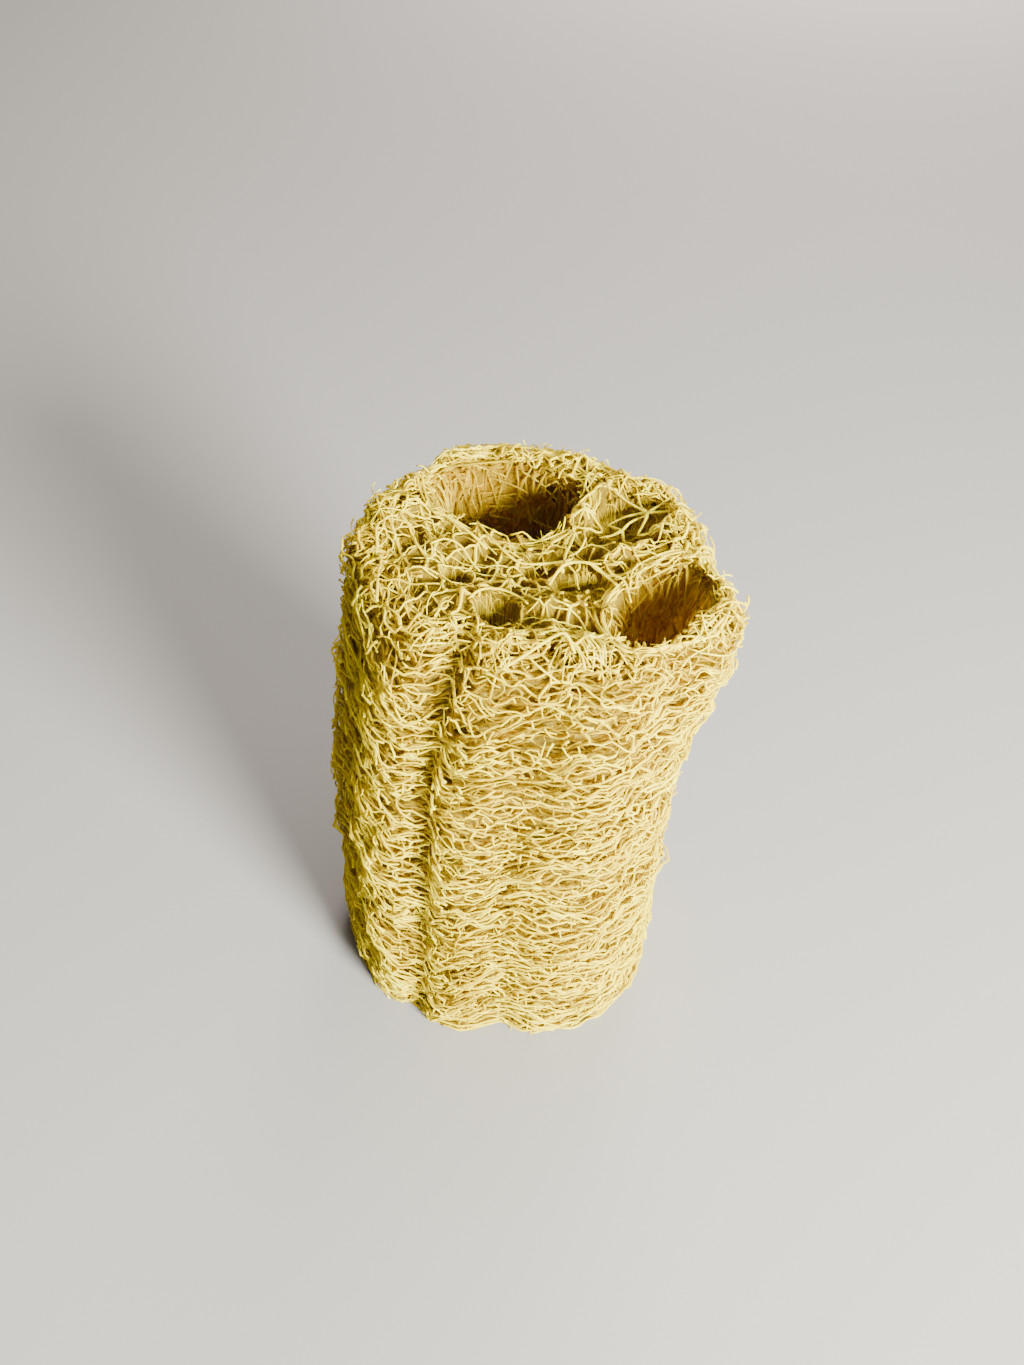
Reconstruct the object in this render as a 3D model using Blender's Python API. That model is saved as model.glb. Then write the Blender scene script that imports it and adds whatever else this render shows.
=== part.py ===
import math
import random

import bmesh
import bpy
from mathutils import Matrix, Vector
from mathutils.bvhtree import BVHTree

# Natural loofah sponge: a length of dried gourd skeleton, grown as one piece.
# Everything is in metres. It stands on its cut lower end, +Z is along its length,
# -Y is the side the photograph was taken from.

HEIGHT = 0.120
SHOULDER = 0.0045
FOOT_ROUND = 0.0008
DISH = 0.0035
SECTION_POWER = 2.3

# The body's outline at five heights: share of the height, middle x and y, half width, half depth.
LEVELS = [
    (0.00, -0.0004, 0.0007, 0.0365, 0.0332),
    (0.45, -0.0005, 0.0013, 0.0349, 0.0322),
    (0.80, 0.0009, 0.0017, 0.0330, 0.0318),
    (0.93, 0.0018, 0.0017, 0.0324, 0.0313),
    (1.00, 0.0020, 0.0016, 0.0323, 0.0301),
]

# Lengthwise lobes (outward) and creases (inward): angle and spread in degrees,
# then the height of the lobe at the foot, at six tenths of the height and at the top.
FOLDS = [
    (237, 8, -0.0030, -0.0029, -0.0034),
    (222, 7, -0.0012, -0.0042, -0.0060),
    (207, 7, -0.0008, 0.0007, 0.0022),
    (185, 13, 0.0018, 0.0041, 0.0021),
    (140, 12, -0.0016, -0.0020, -0.0028),
    (115, 13, 0.0012, 0.0015, 0.0022),
    (88, 14, 0.0004, 0.0005, 0.0007),
    (55, 16, -0.0016, -0.0020, -0.0028),
    (20, 16, 0.0030, 0.0003, -0.0020),
    (-25, 14, 0.0010, 0.0004, 0.0058),
    (-60, 14, 0.0009, 0.0013, 0.0021),
    (272, 9, -0.0025, -0.0014, -0.0005),
]

# The raised net: slanting strands that cross in a long, low diamond pattern.
STRANDS_AROUND = 19
ROWS_ON_SIDE = 37
ROWS_ON_END = 5
END_CORE = 0.19
STRAND_HALF = 0.00062
GAP_DEPTHS = (0.0012, 0.0018, 0.0026)
END_GAP_DEPTH = 0.0008
SMALLEST_GAP = 0.000005
MOST_BEND = 0.0012
JITTER = 0.26
OPENED_SHARE = 0.09
CREASES_OPPOSITE = 40.0

# The seed hollows that run right through: middle x and y, long and short half size,
# turn of the long side in degrees, number of lengthwise fibres on the wall.
HOLLOWS = [
    (-0.0045, 0.0172, 0.0125, 0.0083, 0, 17),
    (0.0243, -0.0102, 0.0105, 0.0054, 54, 13),
    (0.0184, 0.0122, 0.0064, 0.0054, 25, 11),
]
HOLLOW_NARROWING = 0.90
FIBRE_RELIEF = 0.0007
HOLLOW_LEVELS = 9

# Blind holes in the top: middle x and y, half width, half depth, how deep.
PITS = [
    (-0.0045, -0.0176, 0.0042, 0.0036, 0.020),
    (-0.0125, -0.0098, 0.0027, 0.0022, 0.012),
    (0.0048, -0.0092, 0.0022, 0.0014, 0.010),
    (0.0100, -0.0092, 0.0024, 0.0015, 0.010),
    (-0.0160, 0.0010, 0.0024, 0.0014, 0.008),
]

# Loose strands over the smallest hollow: radius, then the points they pass through.
BRIDGES = [
    (0.00075, ((0.0085, 0.0150, 0.1160), (0.0160, 0.0134, 0.1178), (0.0205, 0.0118, 0.1180), (0.0268, 0.0075, 0.1155))),
    (0.00065, ((0.0150, 0.0035, 0.1160), (0.0178, 0.0095, 0.1176), (0.0205, 0.0150, 0.1176), (0.0222, 0.0200, 0.1155))),
    (0.00060, ((0.0100, 0.0080, 0.1160), (0.0150, 0.0105, 0.1174), (0.0205, 0.0118, 0.1178))),
]

# Strands that lie over the cut upper end, at random: how many, their radius and their length.
LOOSE_COUNT = 8
LOOSE_RADIUS = (0.00050, 0.00075)
LOOSE_LENGTH = (0.011, 0.021)

rng = random.Random(4127)


def between(share, column):
    """Read one column of LEVELS at a share of the height."""
    for low, high in zip(LEVELS, LEVELS[1:]):
        if share <= high[0]:
            part = (share - low[0]) / (high[0] - low[0])
            return low[column] + (high[column] - low[column]) * part
    return LEVELS[-1][column]


def outline(angle, share):
    """Middle x, middle y and radius of the body in one direction at a share of the height."""
    share = min(max(share, 0.0), 1.0)
    half_width = between(share, 3)
    half_depth = between(share, 4)
    across = (abs(math.cos(angle)) / half_width) ** SECTION_POWER
    along = (abs(math.sin(angle)) / half_depth) ** SECTION_POWER
    radius = (across + along) ** (-1.0 / SECTION_POWER)
    for turn, spread, foot, middle, top in FOLDS:
        off = math.degrees(angle) - turn
        off = (off + 180.0) % 360.0 - 180.0
        if share < 0.6:
            rise = foot + (middle - foot) * share / 0.6
        else:
            rise = middle + (top - middle) * (share - 0.6) / 0.4
        radius += rise * math.exp(-((off / spread) ** 2))
    return between(share, 1), between(share, 2), radius


def place(angle, inward, height):
    """A point of the body: inward is 1 at the outline and 0 at the middle of the end."""
    middle_x, middle_y, radius = outline(angle, height / HEIGHT)
    x = middle_x + inward * radius * math.cos(angle)
    y = middle_y + inward * radius * math.sin(angle)
    return Vector((x, y, height))


def crowded(turns):
    """Turn an even share of the way round into an angle, with the strands closer at the creases."""
    angle = 2.0 * math.pi * turns
    off = angle - math.radians(CREASES_OPPOSITE)
    return angle + 0.24 * math.sin(off) - 0.05 * math.sin(2.0 * off)


def top_height(inward, angle):
    """Height of the upper end: a rounded rim, slightly dished, not quite level."""
    wave = 0.0010 * math.sin(2.0 * angle + 0.6) + 0.0006 * math.sin(3.0 * angle - 1.0)
    edge = max(0.0, (inward - 0.84) / 0.16)
    drop = SHOULDER * (1.0 - math.sqrt(max(0.0, 1.0 - edge * edge)))
    hollow = DISH * max(0.0, 1.0 - inward / 0.74) ** 1.2
    return HEIGHT - 0.0012 + wave * inward - drop - hollow


def profile():
    """The run of rings from the middle of the foot, up the side, to the middle of the top."""
    rings = []
    for k in range(ROWS_ON_END):
        part = k / ROWS_ON_END
        rings.append(("foot", END_CORE + (1.0 - END_CORE) * part))
    for k in range(ROWS_ON_SIDE + 1):
        rings.append(("side", k / ROWS_ON_SIDE))
    for k in range(1, ROWS_ON_END + 1):
        part = k / ROWS_ON_END
        rings.append(("top", 1.0 - (1.0 - END_CORE) * part))
    return rings


def body_mesh():
    """The closed body, with its long low diamonds laid out but not yet sunk."""
    mesh = bmesh.new()
    rings = []
    for row, (zone, value) in enumerate(profile()):
        ring = []
        for k in range(STRANDS_AROUND):
            turns = (k + 0.5 * (row % 2)) / STRANDS_AROUND
            turns += rng.uniform(-JITTER, JITTER) * 0.5 / STRANDS_AROUND
            angle = crowded(turns)
            if zone == "foot":
                inward = value + rng.uniform(-0.02, 0.02)
                point = place(angle, inward, 0.0)
            elif zone == "side":
                step = HEIGHT / ROWS_ON_SIDE
                rise = FOOT_ROUND + (top_height(1.0, angle) - FOOT_ROUND) * value
                if 0.0 < value < 1.0:
                    rise += rng.uniform(-JITTER, JITTER) * step
                point = place(angle, 1.0, rise)
            else:
                inward = value + rng.uniform(-0.02, 0.02)
                point = place(angle, inward, top_height(inward, angle))
            ring.append(mesh.verts.new(point))
        rings.append(ring)

    count = STRANDS_AROUND
    last = len(rings) - 1
    for row, ring in enumerate(rings):
        for k in range(count):
            tip = (k + row % 2) % count
            corners = [ring[k], ring[(k + 1) % count]]
            if row < last:
                corners.insert(1, rings[row + 1][tip])
            if row > 0:
                corners.append(rings[row - 1][tip])
            mesh.faces.new(corners)
    mesh.faces.new(rings[0])
    crown = mesh.faces.new(rings[last])
    heart = bmesh.ops.poke(mesh, faces=[crown], center_mode="MEAN")
    heart["verts"][0].co.z -= 0.0016
    bmesh.ops.recalc_face_normals(mesh, faces=mesh.faces[:])
    return mesh


def open_some_gaps(mesh):
    """Take a few strands out, so that two gaps run together as they do in the real net."""
    strands = []
    used = set()
    for edge in mesh.edges:
        faces = edge.link_faces
        if min(len(face.verts) for face in faces) < 4 or rng.random() > OPENED_SHARE:
            continue
        if max(len(face.verts) for face in faces) > 4:
            continue
        if used.intersection(faces):
            continue
        used.update(faces)
        strands.append(edge)
    bmesh.ops.dissolve_edges(mesh, edges=strands, use_verts=False)


def sink_gaps(mesh, spaces):
    """Sink each gap between the strands, less deep where a hollow lies close behind it."""
    gaps = []
    for face in mesh.faces:
        if len(face.verts) not in (4, 6) or face.calc_area() < SMALLEST_GAP:
            continue
        middle = face.calc_center_median()
        bend = max(abs((vert.co - middle).dot(face.normal)) for vert in face.verts)
        if bend > MOST_BEND:
            continue
        depth = rng.choice(GAP_DEPTHS)
        if abs(face.normal.z) > 0.3 or min(middle.z, HEIGHT - middle.z) < 0.0075:
            depth = min(depth, END_GAP_DEPTH)
        if middle.z < 0.0003 and math.hypot(middle.x, middle.y) > 0.026:
            continue
        depth = min(depth, math.sqrt(face.calc_area()) * 0.4)
        for edge in face.edges:
            fold = edge.calc_face_angle_signed()
            if fold > 0.05:
                depth = min(depth, 0.62 * STRAND_HALF / math.tan(fold / 2.0))
        for space in spaces:
            behind = space.ray_cast(middle + face.normal * 0.001, -face.normal)[3]
            if behind is not None:
                depth = min(depth, max(0.0, 0.45 * (behind - 0.001 - FIBRE_RELIEF)))
        if depth > 0.0004:
            gaps.append((face, depth))
    bmesh.ops.inset_individual(mesh, faces=[face for face, depth in gaps], thickness=0.0, depth=0.0)
    for face, depth in gaps:
        middle = face.calc_center_median()
        normal = face.normal.copy()
        half = min(
            ((edge.verts[0].co + edge.verts[1].co) / 2.0 - middle).length for edge in face.edges)
        keep = max(0.35, 1.0 - STRAND_HALF * rng.uniform(0.8, 1.2) / half)
        for vert in face.verts:
            vert.co = middle + (vert.co - middle) * keep - normal * depth


def new_object(name, mesh):
    """Turn a working mesh into an object."""
    bmesh.ops.triangulate(mesh, faces=mesh.faces[:])
    bmesh.ops.recalc_face_normals(mesh, faces=mesh.faces[:])
    data = bpy.data.meshes.new(name)
    mesh.to_mesh(data)
    mesh.free()
    thing = bpy.data.objects.new(name, data)
    bpy.context.scene.collection.objects.link(thing)
    return thing


def fluted_tube(name, outlines):
    """A closed tube through a list of rings of points."""
    mesh = bmesh.new()
    rings = [[mesh.verts.new(point) for point in ring] for ring in outlines]
    count = len(rings[0])
    for low, high in zip(rings, rings[1:]):
        for k in range(count):
            right = (k + 1) % count
            mesh.faces.new((low[k], low[right], high[right], high[k]))
    mesh.faces.new(rings[0])
    mesh.faces.new(rings[-1])
    return new_object(name, mesh)


def hollow(index, shape):
    """The space of one seed hollow: its wall carries lengthwise fibres as raised ridges."""
    x, y, long_half, short_half, turn, fibres = shape
    turn = math.radians(turn)
    outlines = []
    for level in range(HOLLOW_LEVELS):
        share = level / (HOLLOW_LEVELS - 1)
        height = -0.003 + (HEIGHT + 0.006) * share
        size = 1.0 if level >= HOLLOW_LEVELS - 1 else HOLLOW_NARROWING
        ring = []
        for k in range(2 * fibres):
            angle = 2.0 * math.pi * (k + rng.uniform(-0.28, 0.28)) / (2 * fibres)
            relief = FIBRE_RELIEF * (0.6 + 0.8 * rng.random()) if k % 2 else 0.0
            along = (long_half * size - relief) * math.cos(angle)
            aside = (short_half * size - relief) * math.sin(angle)
            ring.append(Vector((
                x + along * math.cos(turn) - aside * math.sin(turn),
                y + along * math.sin(turn) + aside * math.cos(turn),
                height)))
        outlines.append(ring)
    return fluted_tube(f"hollow_{index}", outlines)


def pit(index, shape):
    """The space of one blind hole in the top, narrowing downwards."""
    x, y, half_width, half_depth, depth = shape
    outlines = []
    for size, height in ((0.55, HEIGHT - depth), (0.95, HEIGHT - depth * 0.6), (1.0, HEIGHT + 0.004)):
        ring = []
        for k in range(9):
            angle = 2.0 * math.pi * (k + rng.uniform(-0.2, 0.2)) / 9
            ring.append(Vector((
                x + size * half_width * math.cos(angle),
                y + size * half_depth * math.sin(angle),
                height)))
        outlines.append(ring)
    return fluted_tube(f"pit_{index}", outlines)


def bridge(index, shape):
    """One loose strand: a thin six-sided rod swept along its points."""
    radius, points = shape
    outlines = []
    for k, point in enumerate(points):
        ahead = Vector(points[min(k + 1, len(points) - 1)])
        behind = Vector(points[max(k - 1, 0)])
        forward = (ahead - behind).normalized()
        aside = forward.cross(Vector((0.0, 0.0, 1.0))).normalized()
        upward = aside.cross(forward)
        ring = []
        for side in range(6):
            angle = math.pi * side / 3.0
            ring.append(Vector(point) + radius * (aside * math.cos(angle) + upward * math.sin(angle)))
        outlines.append(ring)
    return fluted_tube(f"bridge_{index}", outlines)


def over_a_hollow(x, y):
    """True where the upper end is open."""
    for middle_x, middle_y, long_half, short_half, turn, _ in HOLLOWS:
        turn = math.radians(turn)
        along = (x - middle_x) * math.cos(turn) + (y - middle_y) * math.sin(turn)
        aside = (y - middle_y) * math.cos(turn) - (x - middle_x) * math.sin(turn)
        if (along / (long_half + 0.0008)) ** 2 + (aside / (short_half + 0.0008)) ** 2 < 1.0:
            return True
    for middle_x, middle_y, half_width, half_depth, _ in PITS:
        if math.hypot((x - middle_x) / half_width, (y - middle_y) / half_depth) < 1.2:
            return True
    return False


def end_surface(x, y):
    """Share of the way out to the rim, and the height of the upper end, over a point."""
    off_x = x - between(1.0, 1)
    off_y = y - between(1.0, 2)
    angle = math.atan2(off_y, off_x)
    inward = math.hypot(off_x, off_y) / outline(angle, 0.97)[2]
    return inward, top_height(min(inward, 1.0), angle)


def loose_strands():
    """Arched strands over the upper end, each with both of its ends in the flesh."""
    strands = []
    while len(strands) < LOOSE_COUNT:
        x = rng.uniform(-0.030, 0.034)
        y = rng.uniform(-0.028, 0.030)
        turn = rng.uniform(0.0, math.pi)
        reach = rng.uniform(*LOOSE_LENGTH) / 2.0
        bow = rng.uniform(-0.12, 0.12)
        points = []
        for step, lift in ((-1.0, -0.0010), (0.0, 0.0003), (1.0, -0.0010)):
            point_x = x + reach * step * math.cos(turn + bow * step)
            point_y = y + reach * step * math.sin(turn + bow * step)
            inward, height = end_surface(point_x, point_y)
            if inward > 0.93 or (step and over_a_hollow(point_x, point_y)):
                break
            points.append((point_x, point_y, height + lift))
        if len(points) == 3:
            strands.append((rng.uniform(*LOOSE_RADIUS), points))
    return strands


def combine(body, tool, operation):
    """Cut a tool out of the body, or join it on, then drop the tool."""
    step = body.modifiers.new(operation.lower(), "BOOLEAN")
    step.operation = operation
    step.solver = "EXACT"
    step.object = tool
    bpy.context.view_layer.objects.active = body
    bpy.ops.object.modifier_apply(modifier=step.name)
    bpy.data.objects.remove(tool, do_unlink=True)


for thing in list(bpy.data.objects):
    bpy.data.objects.remove(thing, do_unlink=True)

tools = [hollow(index, shape) for index, shape in enumerate(HOLLOWS)]
tools += [pit(index, shape) for index, shape in enumerate(PITS)]
spaces = []
for tool in tools:
    space = bmesh.new()
    space.from_mesh(tool.data)
    spaces.append(BVHTree.FromBMesh(space))
    space.free()

net = body_mesh()
open_some_gaps(net)
sink_gaps(net, spaces)
body = new_object("loofah_sponge", net)
for tool in tools:
    combine(body, tool, "DIFFERENCE")
for index, shape in enumerate(list(BRIDGES) + loose_strands()):
    combine(body, bridge(index, shape), "UNION")

# Tidy the mesh, then stand it centred on the origin with its foot at height zero.
mesh = bmesh.new()
mesh.from_mesh(body.data)
bmesh.ops.remove_doubles(mesh, verts=mesh.verts[:], dist=0.000002)
bmesh.ops.dissolve_limit(mesh, angle_limit=0.008, verts=mesh.verts[:], edges=mesh.edges[:])
bmesh.ops.triangulate(mesh, faces=mesh.faces[:])
bmesh.ops.recalc_face_normals(mesh, faces=mesh.faces[:])
low = Vector([min(vert.co[axis] for vert in mesh.verts) for axis in range(3)])
high = Vector([max(vert.co[axis] for vert in mesh.verts) for axis in range(3)])
shift = Vector((-(low.x + high.x) / 2.0, -(low.y + high.y) / 2.0, -low.z))
bmesh.ops.transform(mesh, matrix=Matrix.Translation(shift), verts=mesh.verts[:])
mesh.to_mesh(body.data)
mesh.free()

fibre = bpy.data.materials.new("dry_gourd_fibre")
fibre.use_nodes = True
shader = fibre.node_tree.nodes["Principled BSDF"]
shader.inputs["Base Color"].default_value = (0.56, 0.41, 0.15, 1.0)
shader.inputs["Roughness"].default_value = 0.62
shader.inputs["Metallic"].default_value = 0.0
body.data.materials.clear()
body.data.materials.append(fibre)
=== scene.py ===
import math
from collections import defaultdict
from itertools import combinations

import bmesh
import bpy
import numpy as np
from mathutils import Matrix, Vector
from mathutils.geometry import delaunay_2d_cdt
from mathutils.kdtree import KDTree


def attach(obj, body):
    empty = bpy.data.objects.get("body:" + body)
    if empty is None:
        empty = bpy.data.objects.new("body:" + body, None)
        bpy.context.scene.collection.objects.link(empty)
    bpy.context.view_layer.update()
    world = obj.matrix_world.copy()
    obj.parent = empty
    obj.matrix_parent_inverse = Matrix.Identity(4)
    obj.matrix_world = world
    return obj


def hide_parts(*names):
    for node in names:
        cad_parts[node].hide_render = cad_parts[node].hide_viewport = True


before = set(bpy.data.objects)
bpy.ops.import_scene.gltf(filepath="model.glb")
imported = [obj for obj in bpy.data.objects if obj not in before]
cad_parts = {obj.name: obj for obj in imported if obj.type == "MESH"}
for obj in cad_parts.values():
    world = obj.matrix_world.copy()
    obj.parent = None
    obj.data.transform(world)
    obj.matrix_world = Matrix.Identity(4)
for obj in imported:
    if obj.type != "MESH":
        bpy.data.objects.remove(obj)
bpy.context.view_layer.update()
mm = 0.001

# The body's shape: the CAD part's form, with the back rim a little higher and the deep crease leaning
body = {
    "height": 120 * mm,
    "shoulder": 4.5 * mm,       # how far the upper end falls at its edge
    "shoulderShare": 0.16,      # share of the radius over which it falls
    "shoulderArc": 7.9 * mm,    # the way over the shoulder
    "dish": 3.5 * mm,           # how far the middle of the upper end sinks
    "power": 2.3,               # 2 is an ellipse, more is squarer
    "shift": (0.85 * mm, -1.19 * mm),
    "rimShare": 0.97,           # share of the height where the upper end's outline is taken
    "backRise": 3.6 * mm,       # how far the back rim stands above the rest
    "backTurn": 122.0,          # the back rim's direction in degrees
    "creaseTurns": (215, 245),  # the deep crease's fold lies between these directions
    "creaseLean": 6.0,          # degrees that the crease swings to the right toward the rim
    "leanFrom": 0.72,           # share of the height where it starts to swing
    "leanOver": 0.24,           # share of the height over which it swings
    # share of the height, then middle x and y, half width and half depth in metres
    "levels": [
        (0.00, -0.0004, 0.0007, 0.0365, 0.0332),
        (0.45, -0.0005, 0.0013, 0.0349, 0.0322),
        (0.80, 0.0009, 0.0017, 0.0330, 0.0318),
        (0.93, 0.0018, 0.0017, 0.0324, 0.0313),
        (1.00, 0.0020, 0.0016, 0.0323, 0.0301),
    ],
    # angle and spread in degrees, then the rise in metres at the foot, at six tenths and at the top
    "folds": [
        (238, 6, -0.0030, -0.0038, -0.0050),
        (220, 8, -0.0002, 0.0012, 0.0004),
        (207, 7, -0.0006, 0.0002, 0.0006),
        (185, 13, 0.0012, 0.0037, 0.0019),
        (140, 12, -0.0016, -0.0020, -0.0016),
        (115, 13, 0.0012, 0.0015, 0.0030),
        (88, 14, 0.0004, 0.0005, 0.0016),
        (55, 16, -0.0016, -0.0020, -0.0030),
        (20, 16, 0.0030, 0.0003, -0.0006),
        (-22, 15, 0.0010, 0.0004, 0.0076),
        (-60, 14, 0.0009, 0.0013, 0.0021),
        (272, 9, -0.0025, -0.0014, -0.0005),
    ],
}

# Hollows that run right through, then blind pits: middle x and y, half sizes, turn, depth, in mm and degrees
hollows = {
    "back": (-4.5, 17.2, 12.5, 8.3, 0, 125),
    "right": (24.3, -10.2, 10.5, 5.4, 54, 125),
    "small": (18.4, 12.2, 6.4, 5.4, 25, 125),
}
pits = {
    "front": (-4.5, -15.8, 4.0, 3.6, 0, 6.5),
    "left": (-12.0, -8.2, 2.9, 2.6, 0, 6.0),
    "arch": (9.1, -4.6, 4.2, 2.2, 5, 4.5),
    "pairLeft": (4.0, -10.2, 1.8, 1.4, 0, 3.0),
    "pairRight": (9.6, -9.4, 2.4, 1.4, 0, 3.5),
    "slit": (-16.0, 1.0, 2.4, 1.4, 0, 3.0),
    "eye": (-2.0, -4.0, 1.1, 1.0, 0, 2.5),
}
openings = {**hollows, **pits}
mouthLook = {
    # in millimetres, but for narrow
    "wall": 2.6,         # wall that a hollow's flare leaves standing
    "flare": 3.2,        # how far a hollow's mouth widens
    "flareDeep": 9,
    "narrow": 0.10,      # share that a hollow narrows below its mouth
    "narrowDeep": 18,
    "dip": 1.4,          # how far the mouth lies below the upper end
    "lipWide": 3.2,      # how far from a mouth the upper end starts to fall
    "lipDrop": 1.9,
}


def unit(value):
    return np.clip(value, 0.0, 1.0)


def bodyColumn(share, column):
    levels = np.array(body["levels"])
    middle = np.interp(share, levels[:, 0], levels[:, column])
    if column in (1, 2):
        middle = middle + body["shift"][column - 1]
    return middle


def bodyRadius(angle, share):
    # how far the outline lies from the middle in one direction
    share = unit(share)
    across = (np.abs(np.cos(angle)) / bodyColumn(share, 3)) ** body["power"]
    along = (np.abs(np.sin(angle)) / bodyColumn(share, 4)) ** body["power"]
    radius = (across + along) ** (-1.0 / body["power"])
    for turn, spread, foot, middle, top in body["folds"]:
        if body["creaseTurns"][0] < turn < body["creaseTurns"][1]:
            turn = turn + body["creaseLean"] * unit((share - body["leanFrom"]) / body["leanOver"])
        off = (np.degrees(angle) - turn + 180.0) % 360.0 - 180.0
        rise = np.interp(share, [0.0, 0.6, 1.0], [foot, middle, top])
        radius = radius + rise * np.exp(-((off / spread) ** 2))
    return radius


def topHeight(inward, angle):
    # height of the upper end: two slow waves, a rounded edge, a sunk middle and a higher back rim
    wave = 1.0 * mm * np.sin(2.0 * angle + 0.6) + 0.6 * mm * np.sin(3.0 * angle - 1.0)
    edge = unit((inward - 1.0 + body["shoulderShare"]) / body["shoulderShare"])
    drop = body["shoulder"] * (1.0 - np.sqrt(1.0 - edge * edge))
    dish = body["dish"] * unit(1.0 - inward / 0.74) ** 1.2
    backward = unit(np.cos(angle - math.radians(body["backTurn"]))) ** 1.5
    rise = body["backRise"] * backward * unit(inward / 0.8) ** 3
    return body["height"] - 1.2 * mm + wave * inward - drop - dish + rise


def skinPoint(angle, run, depth):
    # a point of the outer skin: run goes up the side, over the shoulder and in along the top
    edge = topHeight(1.0, angle)
    arc = body["shoulderArc"]
    radius = bodyRadius(angle, unit(np.minimum(run, edge) / body["height"]))
    turn = unit((run - edge) / arc) * math.pi / 2.0
    past = np.clip(run - edge - arc, 0.0, None)
    inward = 1.0 - body["shoulderShare"] * (1.0 - np.cos(turn)) - past / radius
    inward = inward + np.clip(run, None, 0.0) / radius
    height = np.where(run < edge, np.clip(run, 0.0, None), topHeight(inward, angle))
    out = np.where(run < 0.0, 0.25, np.cos(turn))
    up = np.where(run < 0.0, -1.0, np.sin(turn))
    middleShare = unit(height / body["height"])
    reach = inward * radius - depth * out
    x = bodyColumn(middleShare, 1) + reach * np.cos(angle)
    y = bodyColumn(middleShare, 2) + reach * np.sin(angle)
    return np.stack([x, y, np.maximum(height - depth * up, 0.35 * mm)], axis=-1)


def openingSize(name, x, y):
    # 1 on an opening's edge, less inside it, more outside
    midX, midY, halfLong, halfShort, turn, _ = openings[name]
    offX = x - midX * mm - body["shift"][0]
    offY = y - midY * mm - body["shift"][1]
    turn = math.radians(turn)
    along = offX * math.cos(turn) + offY * math.sin(turn)
    aside = offY * math.cos(turn) - offX * math.sin(turn)
    return np.hypot(along / (halfLong * mm), aside / (halfShort * mm))


def openingGap(x, y, names):
    # how far a place on the top lies from the nearest opening's edge; below zero it is over the opening
    gap = np.full(np.shape(x), 1.0)
    for name in names:
        gap = np.minimum(gap, (openingSize(name, x, y) - 1.0) * openings[name][3] * mm)
    return gap


def topPlace(x, y):
    # how far out a place on the top lies, 1 at the skin, and in which direction
    offX = x - bodyColumn(1.0, 1)
    offY = y - bodyColumn(1.0, 2)
    angle = np.arctan2(offY, offX)
    return np.hypot(offX, offY) / bodyRadius(angle, body["rimShare"]), angle


def topPoint(x, y, depth):
    # a point of the upper end, which dips toward the lip of every hollow
    inward, angle = topPlace(x, y)
    lip = unit(1.0 - openingGap(x, y, hollows) / (mouthLook["lipWide"] * mm)) ** 2 * mouthLook["lipDrop"] * mm
    height = topHeight(np.minimum(inward, 1.0), angle) - lip - depth
    return np.stack([x, y, height], axis=-1), inward


def ellipsePlace(shape, along, aside):
    # a flat place, from the distances along an opening's own axes
    turn = math.radians(shape[4])
    x = shape[0] * mm + body["shift"][0] + along * math.cos(turn) - aside * math.sin(turn)
    y = shape[1] * mm + body["shift"][1] + along * math.sin(turn) + aside * math.cos(turn)
    return x, y


def hollowPoint(shape, angle, drop, depth):
    # a point of a hollow's wall, drop below its mouth, which flares as far as the wall's thickness lets it
    look = mouthLook
    narrow = 1.0 - look["narrow"] + look["narrow"] * unit(1.0 - drop / (look["narrowDeep"] * mm))
    x, y = ellipsePlace(shape, (shape[2] * mm * narrow + depth) * np.cos(angle),
                        (shape[3] * mm * narrow + depth) * np.sin(angle))
    inward, bearing = topPlace(x, y)
    room = bodyRadius(bearing, body["rimShare"]) * (1.0 - inward) - look["wall"] * mm
    flare = np.clip(room, 0.0, look["flare"] * mm) * unit(1.0 - drop / (look["flareDeep"] * mm)) ** 2
    way = angle + math.radians(shape[4])
    x = x + np.cos(way) * flare
    y = y + np.sin(way) * flare
    inward, bearing = topPlace(x, y)
    mouth = topHeight(np.clip(inward, 0.0, body["rimShare"]), bearing) - look["dip"] * mm
    return np.stack([x, y, np.maximum(mouth - drop, 0.5 * mm)], axis=-1)


def makeRipple(rng, reach, count=9):
    # a smooth, seeded swell through space, about -1 to 1, with waves near reach long
    ways = rng.normal(size=(count, 3))
    ways /= np.linalg.norm(ways, axis=1)[:, None]
    ways *= (2.0 * math.pi / (reach * rng.uniform(0.7, 1.6, count)))[:, None]
    starts = rng.uniform(0.0, 2.0 * math.pi, count)

    def ripple(points):
        return np.sin(points @ ways.T + starts).sum(axis=-1) / math.sqrt(count / 1.6)

    return ripple


def smoothPath(nodes, parts):
    # a smooth run through a row of nodes, with parts steps from each to the next
    padded = np.vstack([2 * nodes[0] - nodes[1], nodes, 2 * nodes[-1] - nodes[-2]])
    a, b, c, d = padded[:-3], padded[1:-2], padded[2:-1], padded[3:]
    rows = []
    for part in range(parts):
        t = part / parts
        rows.append(0.5 * (2 * b + (c - a) * t + (2 * a - 5 * b + 4 * c - d) * t * t
                           + (3 * b - a - 3 * c + d) * t * t * t))
    run = np.stack(rows, axis=1).reshape(-1, nodes.shape[1])
    return np.vstack([run, nodes[-1]])


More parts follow.
